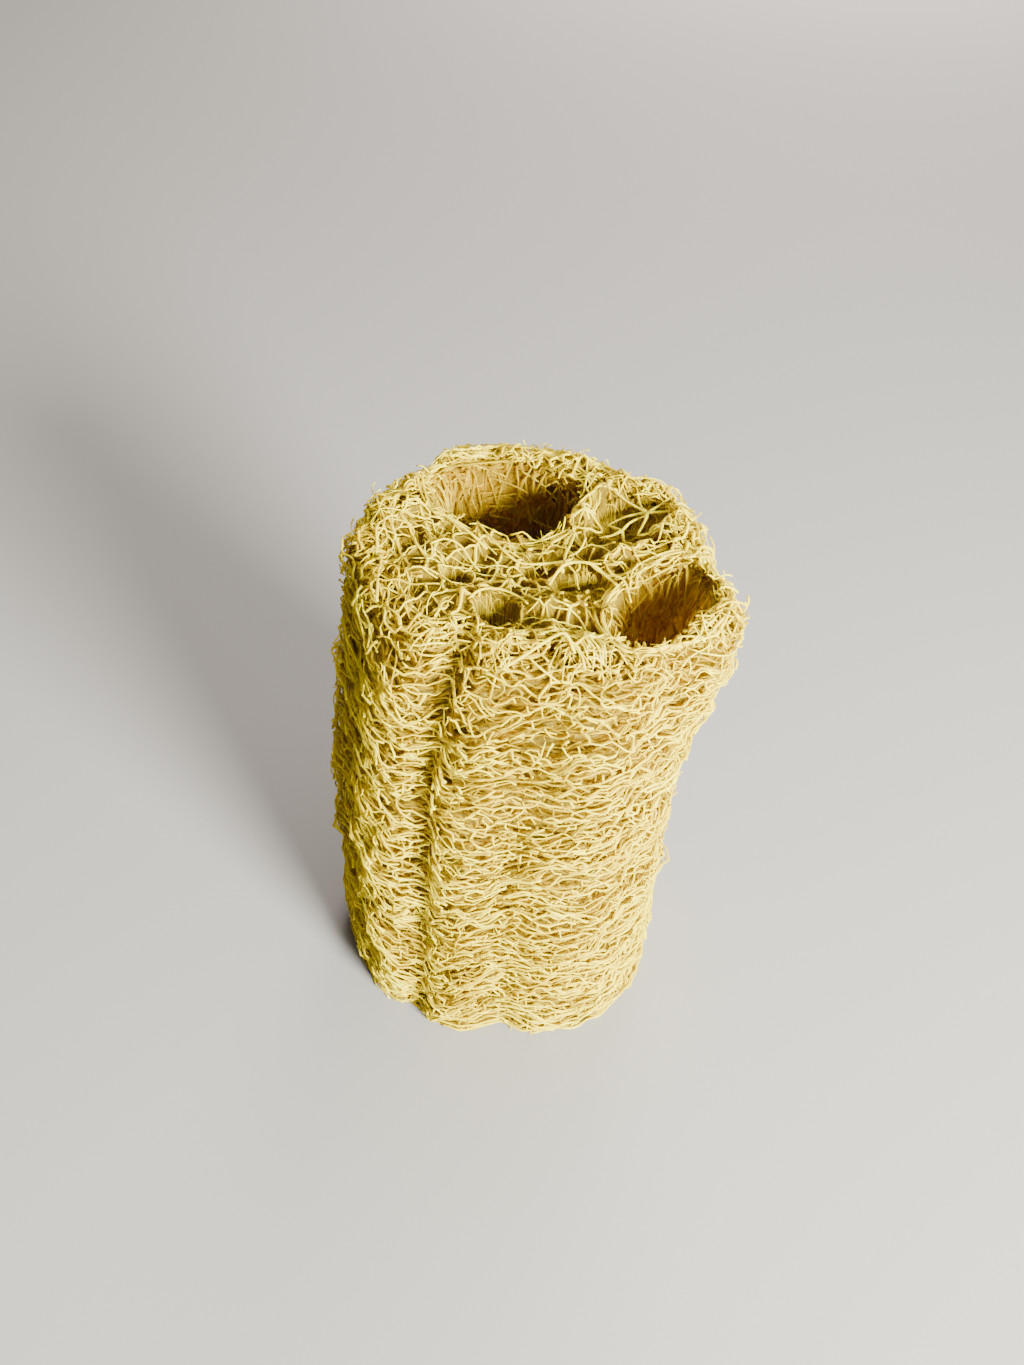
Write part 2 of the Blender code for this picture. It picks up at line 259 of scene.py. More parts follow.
def weave(rng, lanes, steps, missing, jitter, closedLanes=False, closedSteps=False):
    # fibres side by side that touch one neighbour, then the other, and so leave long gaps
    lane = np.arange(-1, lanes)[None, :] + 0.5 + rng.uniform(-jitter, jitter, (steps + 1, lanes + 1)) * 0.5
    step = np.arange(steps + 1)[:, None] + rng.uniform(-jitter, jitter, (steps + 1, lanes + 1))
    lift = rng.normal(size=(steps + 1, lanes + 1))
    if closedSteps:
        lane[-1] = lane[0]
        step[-1] = step[0] + steps
        lift[-1] = lift[0]
    if closedLanes:
        lane[:, 0] = lane[:, -1] - lanes
        step[:, 0] = step[:, -1]
        lift[:, 0] = lift[:, -1]
    runs = []
    for k in range(lanes):
        i = np.arange(steps + 1)
        here = np.where((i + k) % 2 == 0, k + 1, k)
        nodes = np.stack([lane[i, here], step[i, here], lift[i, here]], axis=-1)
        keep = rng.random(steps) > missing
        start = 0
        for i in range(steps + 1):
            if i == steps or not keep[i]:
                if i - start >= 1:
                    runs.append(nodes[start:i + 1])
                start = i + 1
    return runs


def cellNet(rng, wide, high, cellWide, cellHigh, jitter, dropped, wrapped):
    # corners and edges of the cells around scattered seeds, and the seeds themselves
    columns = max(4, round(wide / cellWide))
    rows = max(3, round(high / cellHigh))
    pad = 4 if wrapped else 1
    offsets = rng.uniform(-jitter, jitter, (rows + 3, columns, 2))
    kept = rng.random((rows + 3, columns)) > dropped
    seeds = []
    for row in range(rows + 3):
        for column in range(-pad, columns + pad):
            home = column % columns
            if kept[row, home]:
                seeds.append((column + 0.5 * (row % 2) + offsets[row, home, 0],
                              row - 1 + offsets[row, home, 1]))
    found = delaunay_2d_cdt([Vector(seed) for seed in seeds], [], [], 0, 1e-7)
    spots = np.array([tuple(spot) for spot in found[0]])
    corners = []
    sides = {}
    pairs = []
    for index, face in enumerate(found[2]):
        corners.append(spots[list(face)].mean(axis=0))
        for a, b in zip(face, face[1:] + face[:1]):
            key = (min(a, b), max(a, b))
            if key in sides:
                pairs.append((sides[key], index))
            else:
                sides[key] = index
    corners = np.array(corners) * (wide / columns, high / rows)
    pairs = np.array(pairs)
    if wrapped:
        middle = corners[pairs].mean(axis=1)[:, 0]
        pairs = pairs[(middle >= 0.0) & (middle < wide)]
    return corners, pairs, spots * (wide / columns, high / rows)


def netRuns(rng, corners, pairs, missing, steepMissing, longest):
    # long fibres through the net: at each corner the two straightest edges join, and the third ends there
    span = corners[pairs[:, 1]] - corners[pairs[:, 0]]
    steep = np.abs(span[:, 1]) / np.maximum(np.hypot(span[:, 0], span[:, 1]), 1e-9)
    keep = rng.random(len(pairs)) > missing + steepMissing * steep ** 2
    pairs = pairs[keep]
    around = defaultdict(list)
    for edge, (a, b) in enumerate(pairs):
        around[a].append((edge, b))
        around[b].append((edge, a))
    through = {}
    trios = []
    for corner, ends in around.items():
        best = None
        for first, second in combinations(ends, 2):
            one = corners[first[1]] - corners[corner]
            two = corners[second[1]] - corners[corner]
            bend = float(one @ two) / (math.hypot(*one) * math.hypot(*two) + 1e-12)
            if best is None or bend < best[0]:
                best = (bend, first, second)
        if best is not None and best[0] < -0.2:
            through[corner] = {best[1][0]: best[2][0], best[2][0]: best[1][0]}
            trios.append((corner, best[1][1], best[2][1]))
    trios = np.array(trios)
    corners = corners.copy()
    corners[trios[:, 0]] = 0.5 * corners[trios[:, 0]] + 0.25 * (corners[trios[:, 1]] + corners[trios[:, 2]])
    used = np.zeros(len(pairs), bool)
    runs = []
    for first in rng.permutation(len(pairs)):
        if used[first]:
            continue
        used[first] = True
        run = [int(pairs[first][0]), int(pairs[first][1])]
        for side in (1, 0):
            edge = int(first)
            while len(run) < longest * (1 + side) / 2 + 1 or side == 0 and len(run) < longest:
                corner = run[-1] if side else run[0]
                edge = through.get(corner, {}).get(edge)
                if edge is None or used[edge]:
                    break
                used[edge] = True
                a, b = int(pairs[edge][0]), int(pairs[edge][1])
                other = b if a == corner else a
                run = run + [other] if side else [other] + run
        runs.append(corners[run])
    return runs


def addFibre(bundle, points, thick, rng, ends=1.0, tone=None):
    # thick is the fibre's width in millimetres; its ends are thinner or flare out
    count = len(points)
    if count < 2:
        return
    radius = np.ones(count) * thick * 0.5 * mm * rng.uniform(0.8, 1.2, count)
    share = np.linspace(0.0, 1.0, count)
    reach = min(0.3, 1.0 / count)
    radius = radius * np.interp(share, [0.0, reach, 1.0 - reach, 1.0], [ends, 1.0, 1.0, ends])
    tone = rng.normal() if tone is None else tone
    points = np.array(points)
    points[:, 2] = np.maximum(points[:, 2], radius)
    bundle.append((points, radius, float(tone)))


def clipFibre(points, keep):
    # the stretches of a fibre that may stay
    parts = []
    start = None
    for index, good in enumerate(keep):
        if good and start is None:
            start = index
        if start is not None and (not good or index == len(keep) - 1):
            stop = index + 1 if good else index
            if stop - start >= 2:
                parts.append(points[start:stop])
            start = None
    return parts


def newObject(name, data):
    thing = bpy.data.objects.new(name, data)
    bpy.context.scene.collection.objects.link(thing)
    return thing


def bundleToPiece(name, bundle, material):
    # every fibre is a four-sided tube swept along its points, with closed ends
    sweep = bpy.data.curves.new(name + "Sweep", "CURVE")
    sweep.dimensions = "3D"
    sweep.bevel_mode = "ROUND"
    sweep.bevel_depth = 1.0
    sweep.bevel_resolution = 0
    sweep.use_fill_caps = True
    for points, radius, _ in bundle:
        spline = sweep.splines.new("POLY")
        spline.points.add(len(points) - 1)
        row = np.ones((len(points), 4))
        row[:, :3] = points
        spline.points.foreach_set("co", row.ravel())
        spline.points.foreach_set("radius", radius)
    holder = newObject(name + "Sweep", sweep)
    depsgraph = bpy.context.evaluated_depsgraph_get()
    mesh = bpy.data.meshes.new_from_object(holder.evaluated_get(depsgraph))
    mesh.name = name
    bpy.data.objects.remove(holder, do_unlink=True)
    bpy.data.curves.remove(sweep)
    mesh.polygons.foreach_set("use_smooth", np.ones(len(mesh.polygons), bool))
    # each fibre has four corners at each point and four more at each closed end
    tones = np.concatenate([np.full(4 * len(points) + 8, tone) for points, _, tone in bundle])
    attribute = mesh.attributes.new("tone", "FLOAT", "POINT")
    attribute.data.foreach_set("value", unit(0.5 + 0.22 * tones).astype(np.float32))
    ends = bmesh.new()
    ends.from_mesh(mesh)
    bmesh.ops.remove_doubles(ends, verts=ends.verts, dist=1e-7)
    ends.to_mesh(mesh)
    ends.free()
    mesh.materials.clear()
    mesh.materials.append(material)
    piece = newObject(name, mesh)
    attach(piece, "root")
    print(name, len(bundle), "fibres", sum(len(face.vertices) - 2 for face in mesh.polygons), "triangles")


# Materials


def linear(hexColour):
    parts = [int(hexColour[i:i + 2], 16) / 255.0 for i in (0, 2, 4)]
    return tuple(p / 12.92 if p <= 0.04045 else ((p + 0.055) / 1.055) ** 2.4 for p in parts) + (1.0,)


def addNode(tree, kind, settings=None, **links):
    node = tree.nodes.new("ShaderNode" + kind)
    for key, value in (settings or {}).items():
        if isinstance(key, int) or key in node.inputs:
            node.inputs[key].default_value = value
        else:
            setattr(node, key, value)
    for key, source in links.items():
        tree.links.new(source, node.inputs[int(key[1:]) if key[0] == "_" else key.replace("_", " ")])
    return node


def newMaterial(name):
    material = bpy.data.materials.new(name)
    material.use_nodes = True
    material.node_tree.nodes.clear()
    return material, material.node_tree


def fillRamp(ramp, stops):
    elements = ramp.color_ramp.elements
    while len(elements) > 1:
        elements.remove(elements[-1])
    elements[0].position = stops[0][0]
    elements[0].color = linear(stops[0][1])
    for place, colour in stops[1:]:
        elements.new(place).color = linear(colour)


def noise(tree, place, size, detail, rough):
    # a fine pattern, 0 to 1, with patches about size millimetres wide
    settings = {"Scale": 1000 / size, "Detail": detail, "Roughness": rough}
    return addNode(tree, "TexNoise", settings, Vector=place).outputs["Fac"]


# Dried gourd fibre, retted and sun bleached: straw yellow, dull, and amber where light passes through
fibreLook = {
    # size in mm, detail, roughness and weight: patches where the sap dried darker, then streaks
    "patterns": [(6.0, 2.0, 0.5, 0.9), (0.9, 3.0, 0.5, 0.7)],
    "ridges": (0.16, 2.0, 0.5),   # size in mm, detail, roughness: left by the plant's vessels
    "rise": (0.3, 0.05),          # strength, then height in mm
    "tones": (0.75, 1.85),        # the tones that take the first colour and the last
    "shader": {"Roughness": 0.42, "IOR": 1.45, "Specular IOR Level": 0.08},
    "ridgedThrough": False,       # whether the ridges turn the light that comes through
}

# Dried pith skin, thin as onion paper: wrinkled and lit through; its olive amber darkens where it sags or
# sinks, as painted shade, and its colours are kept dark, partly as painted shade over the upper end
skinLook = {
    "patterns": [(1.4, 4.0, 0.6, 0.6)],
    "ridges": (1.4, 4.0, 0.6),
    "rise": (1.0, 1.1),
    "tones": (0.35, 1.35),
    "shader": {"Roughness": 0.6, "Specular IOR Level": 0.10},
    "ridgedThrough": True,
}


def gourdMaterial(look, name, stops, throughColour, through):
    # stops are places and colours from dark to pale; through is the share of light that comes through
    material, tree = newMaterial(name)
    place = addNode(tree, "TexCoord").outputs["Object"]
    tone = addNode(tree, "Attribute", {"attribute_name": "tone"}).outputs["Fac"]
    for size, detail, rough, weight in look["patterns"]:
        pattern = noise(tree, place, size, detail, rough)
        tone = addNode(tree, "Math", {"operation": "MULTIPLY_ADD", 1: weight}, _0=pattern, _2=tone).outputs[0]
    darkest, palest = look["tones"]
    spread = addNode(tree, "MapRange", {"From Min": darkest, "From Max": palest}, Value=tone)
    ramp = addNode(tree, "ValToRGB", {}, Fac=spread.outputs[0])
    fillRamp(ramp, stops)
    strength, high = look["rise"]
    ridges = noise(tree, place, *look["ridges"])
    bump = addNode(tree, "Bump", {"Strength": strength, "Distance": high * mm}, Height=ridges)
    normal = bump.outputs["Normal"]
    shader = addNode(tree, "BsdfPrincipled", look["shader"], Base_Color=ramp.outputs["Color"], Normal=normal)
    links = {"Normal": normal} if look["ridgedThrough"] else {}
    lit = addNode(tree, "BsdfTranslucent", {"Color": linear(throughColour)}, **links)
    both = addNode(tree, "MixShader", {0: through}, _1=shader.outputs[0], _2=lit.outputs[0])
    addNode(tree, "OutputMaterial", {}, Surface=both.outputs[0])
    return material


def matMaterial():
    # Matted amber fibre, the dense mat deep in the wall that is seen only through the gaps; its dark amber is
    # partly the deep fibre's own colour and partly painted shade that makes the gaps look deep
    material, tree = newMaterial("mattedFibreAmberShade")
    place = addNode(tree, "TexCoord").outputs["Object"]
    squeeze = addNode(tree, "Mapping", {"Scale": (1.0, 1.0, 2.6)}, Vector=place)
    strands = noise(tree, squeeze.outputs["Vector"], 1.6, 3.0, 0.6)
    ramp = addNode(tree, "ValToRGB", {}, Fac=strands)
    fillRamp(ramp, [(0.35, "76630A"), (0.52, "917C10"), (0.68, "AC961A")])
    bump = addNode(tree, "Bump", {"Strength": 0.9, "Distance": 0.6 * mm}, Height=strands)
    shader = addNode(tree, "BsdfPrincipled", {"Roughness": 0.75}, Base_Color=ramp.outputs["Color"],
                     Normal=bump.outputs["Normal"])
    addNode(tree, "OutputMaterial", {}, Surface=shader.outputs[0])
    return material


# The fibre in three copies, as painted light and shade: the outer copy is pale as if lit, the middle and
# inner copies are darker as painted shade for the fibres that lie deeper
outerFibre = gourdMaterial(
    fibreLook, "outerLitGourdFibre",
    [(0.0, "C2A40D"), (0.35, "E6D111"), (0.7, "F8E918"), (1.0, "FFFA44")], "FFEC1E", 0.40)
middleFibre = gourdMaterial(
    fibreLook, "middleShadedGourdFibre",
    [(0.0, "9A830C"), (0.4, "B8A111"), (0.75, "D2BC18"), (1.0, "E6D52D")], "F1D81C", 0.44)
innerFibre = gourdMaterial(
    fibreLook, "deepShadedGourdFibre",
    [(0.0, "826B0C"), (0.4, "9F8811"), (0.8, "BCA61C"), (1.0, "E6D53E")], "F1D620", 0.55)
pithSkin = gourdMaterial(
    skinLook, "driedPithSkin",
    [(0.0, "6A560A"), (0.35, "7E6A10"), (0.7, "907E18"), (1.0, "A6942C")], "EED22C", 0.50)
liningSkin = gourdMaterial(
    skinLook, "paleLiningSkin",
    [(0.0, "86740F"), (0.35, "A6931C"), (0.7, "D2C032"), (1.0, "FAEC60")], "FFE64A", 0.80)
matFibre = matMaterial()
print("materials made")

# The side and the shoulder: branching nets outside, denser weaves behind them

girth = 0.224  # metres round the side at six tenths of its height
around = np.linspace(0.0, 2.0 * math.pi, 1441)
ringX = bodyRadius(around, 0.6) * np.cos(around)
ringY = bodyRadius(around, 0.6) * np.sin(around)
walked = np.concatenate([[0.0], np.cumsum(np.hypot(np.diff(ringX), np.diff(ringY)))])
walked /= walked[-1]
swell = makeRipple(np.random.default_rng(5), 34 * mm)
swirl = makeRipple(np.random.default_rng(6), 13 * mm)
dent = makeRipple(np.random.default_rng(7), 9 * mm)
pucker = makeRipple(np.random.default_rng(8), 3.6 * mm)

netLayers = [
    # name, depth, cell length, cell height at the foot and at the rim, width,
    # share missing, share missing when steep, material, seed
    ("outerNet", 0.10, 3.4, 1.35, 2.10, 0.43, 0.12, 0.12, outerFibre, 11),
    ("secondNet", 1.10, 3.3, 1.35, 1.90, 0.42, 0.10, 0.12, middleFibre, 12),
]
weaveLayers = [
    # name, depth, gap length, gap height at the foot and at the rim, width, share missing, material, seed
    ("thirdNet", 1.9, 3.2, 1.15, 1.50, 0.48, 0.05, innerFibre, 13),
    ("deepNet", 2.9, 3.8, 1.30, 1.50, 0.72, 0.02, innerFibre, 14),
]
sideFoot = -3.0 * mm
sideTop = 124 * mm
sideBend = {
    "lifts": (1.1, 0.65, 0.34),  # mm that the long, middle and short swells lift a fibre
    "crease": (215.0, 36.0, 10.0),  # beside this direction, within this spread, rows slope down by these mm
    "fade": 10,                  # mm above the foot where the swells are whole
    "dents": (0.5, 0.18),        # mm in and out
}


def sideRows(gapFoot, gapRim):
    # heights of the net's rows, closer together toward the foot
    rows = [sideFoot]
    while rows[-1] < sideTop:
        share = max(0.0, rows[-1] / body["height"])
        rows.append(rows[-1] + (gapFoot + (gapRim - gapFoot) * share ** 1.5) * mm)
    return np.array(rows)


def sideFibre(turns, run, depth):
    # the net's own coordinates, bent by slow swells so that no row runs dead level
    angle = np.interp(turns % 1.0, walked, around)
    first = skinPoint(angle, run, depth)
    slow, middle, quick = sideBend["lifts"]
    bend = slow * mm * swell(first) + middle * mm * swirl(first) + quick * mm * pucker(first)
    turn, spread, slope = sideBend["crease"]
    off = (np.degrees(angle) - turn) / spread
    bend = bend - slope * mm * off * np.exp(-off * off)
    fade = unit(run / (sideBend["fade"] * mm))
    wide, fine = sideBend["dents"]
    return skinPoint(angle, run + bend * fade, depth + wide * mm * dent(first) + fine * mm * pucker(first))


def openOver(points):
    # True where a fibre may run: not over an opening of the upper end
    return (points[:, 2] < 100 * mm) | (openingGap(points[:, 0], points[:, 1], openings) > 0.9 * mm)


def netSide(layer):
    name, depth, cellLong, cellFoot, cellRim, width, missing, steepMissing, material, seed = layer
    rng = np.random.default_rng(seed)
    rows = sideRows(cellFoot, cellRim)
    count = len(rows) - 1
    corners, pairs, _ = cellNet(rng, girth / mm, count * cellFoot, cellLong, cellFoot, 0.42, 0.08, True)
    runs = netRuns(rng, corners, pairs, missing, steepMissing, 15)
    bundle = []
    for run in runs:
        high = run[:, 1].mean() / cellFoot > 0.86 * count
        if rng.random() < (0.25 if len(run) == 2 else 0.0) + (0.2 if high else 0.0):
            continue
        path = smoothPath(run, 2) if len(run) < 3 or high else run
        height = np.interp(path[:, 1] / cellFoot, np.arange(len(rows)), rows)
        # level lifts a fibre out or sinks it in, and its tone follows: the deeper it lies, the darker it is,
        # as painted shade
        level = rng.normal() * 0.20 + 0.16 * rng.normal(size=len(path))
        points = sideFibre(path[:, 0] / (girth / mm), height, (depth - level) * mm)
        thick = width * rng.uniform(0.65, 1.3) * (0.8 if len(run) == 2 else 1.0)
        for part in clipFibre(points, openOver(points)):
            addFibre(bundle, part, thick, rng, 1.3, rng.normal() + 1.5 * level.mean())
    bundleToPiece(name, bundle, material)


def weaveSide(layer):
    name, depth, gapLong, gapFoot, gapRim, width, missing, material, seed = layer
    rng = np.random.default_rng(seed)
    rows = sideRows(gapFoot, gapRim)
    steps = int(girth / (gapLong * mm) / 2) * 2
    bundle = []
    for run in weave(rng, len(rows) - 1, steps, missing, 0.62, closedSteps=True):
        path = smoothPath(run, 2)
        height = np.interp(path[:, 0], np.arange(len(rows)), rows)
        lift = 0.16 * mm * path[:, 2] + rng.normal() * 0.18 * mm
        points = sideFibre(path[:, 1] / steps, height, depth * mm - lift)
        clear = openingGap(points[:, 0], points[:, 1], hollows) > 0.3 * mm
        for part in clipFibre(points, openOver(points) & clear):
            addFibre(bundle, part, width * rng.uniform(0.7, 1.25), rng)
    bundleToPiece(name, bundle, material)


for layer in netLayers:
    netSide(layer)
for layer in weaveLayers:
    weaveSide(layer)
print("side nets made")

crossing = {
    "count": 850,
    "seed": 21,
    "heights": (1, 126),      # mm along the side and over the shoulder
    "sparse": 112,            # mm above which few are kept
    "dropped": 0.8,           # share dropped there
    "slant": 0.34,            # radians, for most of them
    "steepShare": 0.15,       # share that may slant up to steepSlant either way
    "steepSlant": 1.5,
    "reach": (4.0, 14.0),     # mm
    "width": (0.24, 0.48),
    "weave": (0.0, 0.4),      # mm in and out along a fibre
}


def crossSide():
    # single fibres that slant over and under the level ones
    rng = np.random.default_rng(crossing["seed"])
    bundle = []
    for _ in range(crossing["count"]):
        run = rng.uniform(*crossing["heights"]) * mm
        if run > crossing["sparse"] * mm and rng.random() < crossing["dropped"]:
            continue
        turns = rng.random()
        steep = rng.random() >= 1.0 - crossing["steepShare"]
        most = crossing["steepSlant"]
        slant = rng.uniform(-most, most) if steep else rng.normal() * crossing["slant"]
        reach = rng.uniform(*crossing["reach"]) * mm * (0.55 if abs(slant) > 0.7 else 1.0)
        count = max(5, int(reach / (1.3 * mm)))
        t = np.linspace(-0.5, 0.5, count)
        bow = rng.normal() * 0.2
        forward = turns + reach * t * math.cos(slant) / girth
        upward = run + reach * (t * math.sin(slant) + bow * (0.25 - t * t) * 1.6)
        upward = np.clip(upward, 0.4 * mm, 128 * mm)
        depth = rng.uniform(-0.25, 0.8) * mm
        depth = depth + rng.uniform(*crossing["weave"]) * mm * np.cos(t * rng.uniform(4, 14))
        depth = depth + 0.9 * mm * (2.0 * np.abs(t)) ** 3
        points = sideFibre(forward, upward, depth)
        for part in clipFibre(points, openOver(points)):
            addFibre(bundle, part, rng.uniform(*crossing["width"]), rng, 0.6, rng.normal() + 0.7)
    bundleToPiece("crossingFibres", bundle, outerFibre)


crossSide()


def meshToObject(name, mesh, material):
    data = bpy.data.meshes.new(name)
    mesh.to_mesh(data)
    mesh.free()
    piece = newObject(name, data)
    data.materials.append(material)
    return piece


leafThick = 0.07 * mm
goneTone = -9.0  # marks a point of a skin that is cut away


def sheetToPiece(name, mesh, tones, material):
    # a skin becomes a thin closed leaf, with a tone for each of its points
    layer = mesh.verts.layers.float.new("tone")
    mesh.verts.ensure_lookup_table()
    for vert in mesh.verts:
        vert[layer] = float(unit(tones[vert.index]))
    doomed = [vert for vert in mesh.verts if tones[vert.index] <= goneTone]
    bmesh.ops.delete(mesh, geom=doomed, context="VERTS")
    bmesh.ops.recalc_face_normals(mesh, faces=mesh.faces[:])
    bmesh.ops.solidify(mesh, geom=mesh.faces[:], thickness=leafThick)
    for face in mesh.faces:
        face.smooth = True
    piece = meshToObject(name, mesh, material)
    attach(piece, "root")
    print(name, sum(len(face.vertices) - 2 for face in piece.data.polygons), "triangles")


# The hollows' walls: fibres that run lengthwise over a papery skin

wallLook = {
    # depth behind the lining, gap between fibres, width and how far down, all in millimetres
    "layers": [(-0.1, 1.25, 0.42, 60), (0.6, 1.5, 0.55, 34)],
    "lower": (1.6, 0.50),      # gap and width farther down
    "foot": 119,               # mm below the mouth where the walls end
    "skin": 1.1,               # mm from the lining to the papery skin
    "torn": 2.0,               # less tears the skin more
    "rings": 13,               # fibres round each mouth
    "ringDepth": (0.0, 1.8),   # mm behind the lining
}


def ellipseRound(halfLong, halfShort):
    return math.pi * (3 * (halfLong + halfShort)
                      - math.sqrt((3 * halfLong + halfShort) * (halfLong + 3 * halfShort)))


def wallWeave(bundle, rng, shape, depth, gap, width, start, stop, length):
    lanes = max(8, int(ellipseRound(shape[2], shape[3]) / gap / 2) * 2)
    steps = max(2, int((stop - start) / length))
    for run in weave(rng, lanes, steps, 0.08, 0.6, closedLanes=True):
        path = smoothPath(run, 2)
        drop = (start + unit(path[:, 1] / steps) * (stop - start)) * mm
        angle = 2.0 * math.pi * path[:, 0] / lanes
        place = hollowPoint(shape, angle, drop, depth * mm)
        into = depth * mm + 0.4 * mm * dent(place) - 0.2 * mm * path[:, 2]
        # Painted light: a fibre's tone rises with its depth in the hollow, so the walls grow paler where
        # shade would fall
        tone = 0.7 * rng.normal() - 0.4 + 2.2 * min(1.0, float(drop.mean()) / (22 * mm))  # paler deep inside
        addFibre(bundle, hollowPoint(shape, angle, drop, into), width * rng.uniform(0.6, 1.3), rng, 1.0, tone)


def lineHollow(shape, seed):
    rng = np.random.default_rng(seed)
    bundle = []
    reachRound = ellipseRound(shape[2], shape[3])
    for depth, gap, width, deep in wallLook["layers"]:
        wallWeave(bundle, rng, shape, depth, gap, width, 0.0, deep, 4.6)
        # level ties across the lengthwise fibres
        for _ in range(int(reachRound * deep / 34)):
            drop = rng.uniform(0.0, deep) * mm
            first = rng.uniform(0, 2 * math.pi)
            t = np.linspace(0.0, 1.0, 5)
            reach = rng.uniform(2.5, 7.0) / reachRound * 2 * math.pi
            fall = np.clip(drop + rng.uniform(-2.5, 2.5) * mm * t, 0.0, deep * mm)
            place = hollowPoint(shape, first + reach * t, fall, (depth + rng.uniform(-0.3, 0.4)) * mm)
            addFibre(bundle, place, rng.uniform(0.25, 0.45), rng, 0.8)
    gap, width = wallLook["lower"]
    wallWeave(bundle, rng, shape, 0.3, gap, width, wallLook["layers"][0][3], wallLook["foot"], 8.0)
    return bundle


def mouthRings(bundle, shape, rng):
    # fibres that run round an opening's mouth
    for _ in range(wallLook["rings"]):
        first = rng.uniform(0, 2 * math.pi)
        count = max(9, int(ellipseRound(shape[2], shape[3]) / 2.0))
        t = np.linspace(0.0, rng.uniform(0.45, 0.95) * 2 * math.pi, count)
        depth = rng.uniform(*wallLook["ringDepth"]) * mm + 0.35 * mm * np.sin(t * rng.integers(2, 6) + first)
        drop = rng.uniform(-1.0, 0.8) * mm + 0.4 * mm * np.sin(t * 3 + first)
        addFibre(bundle, hollowPoint(shape, first + t, drop, depth), rng.uniform(0.32, 0.52), rng, 0.8, 1.2)


def hollowSkin(name, shape, seed):
    # the papery skin behind the fibres, torn here and there
    rng = np.random.default_rng(seed)
    drops = np.concatenate([np.arange(0.6, 40, 1.5), np.linspace(42, wallLook["foot"], 10)])
    mesh = bmesh.new()
    bmesh.ops.create_grid(mesh, x_segments=56, y_segments=len(drops) - 1, size=0.5)
    mesh.verts.ensure_lookup_table()
    flat = np.array([vert.co[:2] for vert in mesh.verts])
    angle = 2 * math.pi * (flat[:, 0] + 0.5)
    drop = np.interp(flat[:, 1] + 0.5, np.linspace(0, 1, len(drops)), drops) * mm
    first = hollowPoint(shape, angle, drop, wallLook["skin"] * mm)
    depth = wallLook["skin"] * mm + 0.4 * mm * dent(first) + 0.25 * mm * pucker(first)
    places = hollowPoint(shape, angle, drop, depth)
    for vert, place in zip(mesh.verts, places):
        vert.co = place
    # Painted light: the skin grows paler the deeper it lies in a hollow, lifting the shade there; pucker and
    # swirl vary it at random
    tones = 0.20 + 0.65 * unit(drop / (16 * mm)) + 0.12 * pucker(first) + 0.10 * swirl(first)
    torn = makeRipple(rng, 4.5 * mm)(first) > wallLook["torn"]
    tones[torn & (drop > 3 * mm) & (drop < 38 * mm)] = goneTone
    seam = bmesh.ops.find_doubles(mesh, verts=mesh.verts, dist=1e-6)["targetmap"]
    for vert, target in seam.items():
        tones[target.index] = max(tones[target.index], tones[vert.index])
    bmesh.ops.weld_verts(mesh, targetmap=seam)
    kept = np.array([tones[vert.index] for vert in mesh.verts])
    mesh.verts.index_update()
    sheetToPiece(name, mesh, kept, liningSkin)


wallBundle = []
mouthBundle = []
for order, (name, shape) in enumerate(hollows.items()):
    wallBundle += lineHollow(shape, 40 + order)
    mouthRings(mouthBundle, shape, np.random.default_rng(50 + order))
    hollowSkin(name + "HollowSkin", shape, 90 + order)
bundleToPiece("hollowWalls", wallBundle, innerFibre)
print("hollows lined")

# The upper end: a foam of nets, with pith skin sagging between the fibres of the uppermost

topNets = [
    # depth, cell size, width, share missing, how far out it begins, material
    (0.0, 4.2, 0.44, 0.10, 0.00, outerFibre),
    (0.5, 3.3, 0.32, 0.42, 0.00, middleFibre),
    (1.1, 3.0, 0.42, 0.10, 0.70, middleFibre),
    (2.0, 2.8, 0.55, 0.08, 0.70, innerFibre),
    (3.1, 2.6, 0.80, 0.04, 0.70, innerFibre),
]
pith = {
    "span": 78.0,       # mm, the side of the square that nets and skin are cut from
    "middle": (1.5, 0.0),
    "grid": 156,
    "sag": 2.3,         # mm that the skin hangs between two fibres
    "open": 0.10,       # share of the cells that have lost their skin
    "ragged": 0.80,     # how far out the skin begins to fray
    "smallSag": 3.6,    # mm that the skin hangs into the small hollow
    "hairs": 760,       # fine fibres that lie on the skin
    "hairWidth": (0.12, 0.24),
}


def topRelief(points):
    return 0.75 * mm * dent(points) + 0.35 * mm * pucker(points)


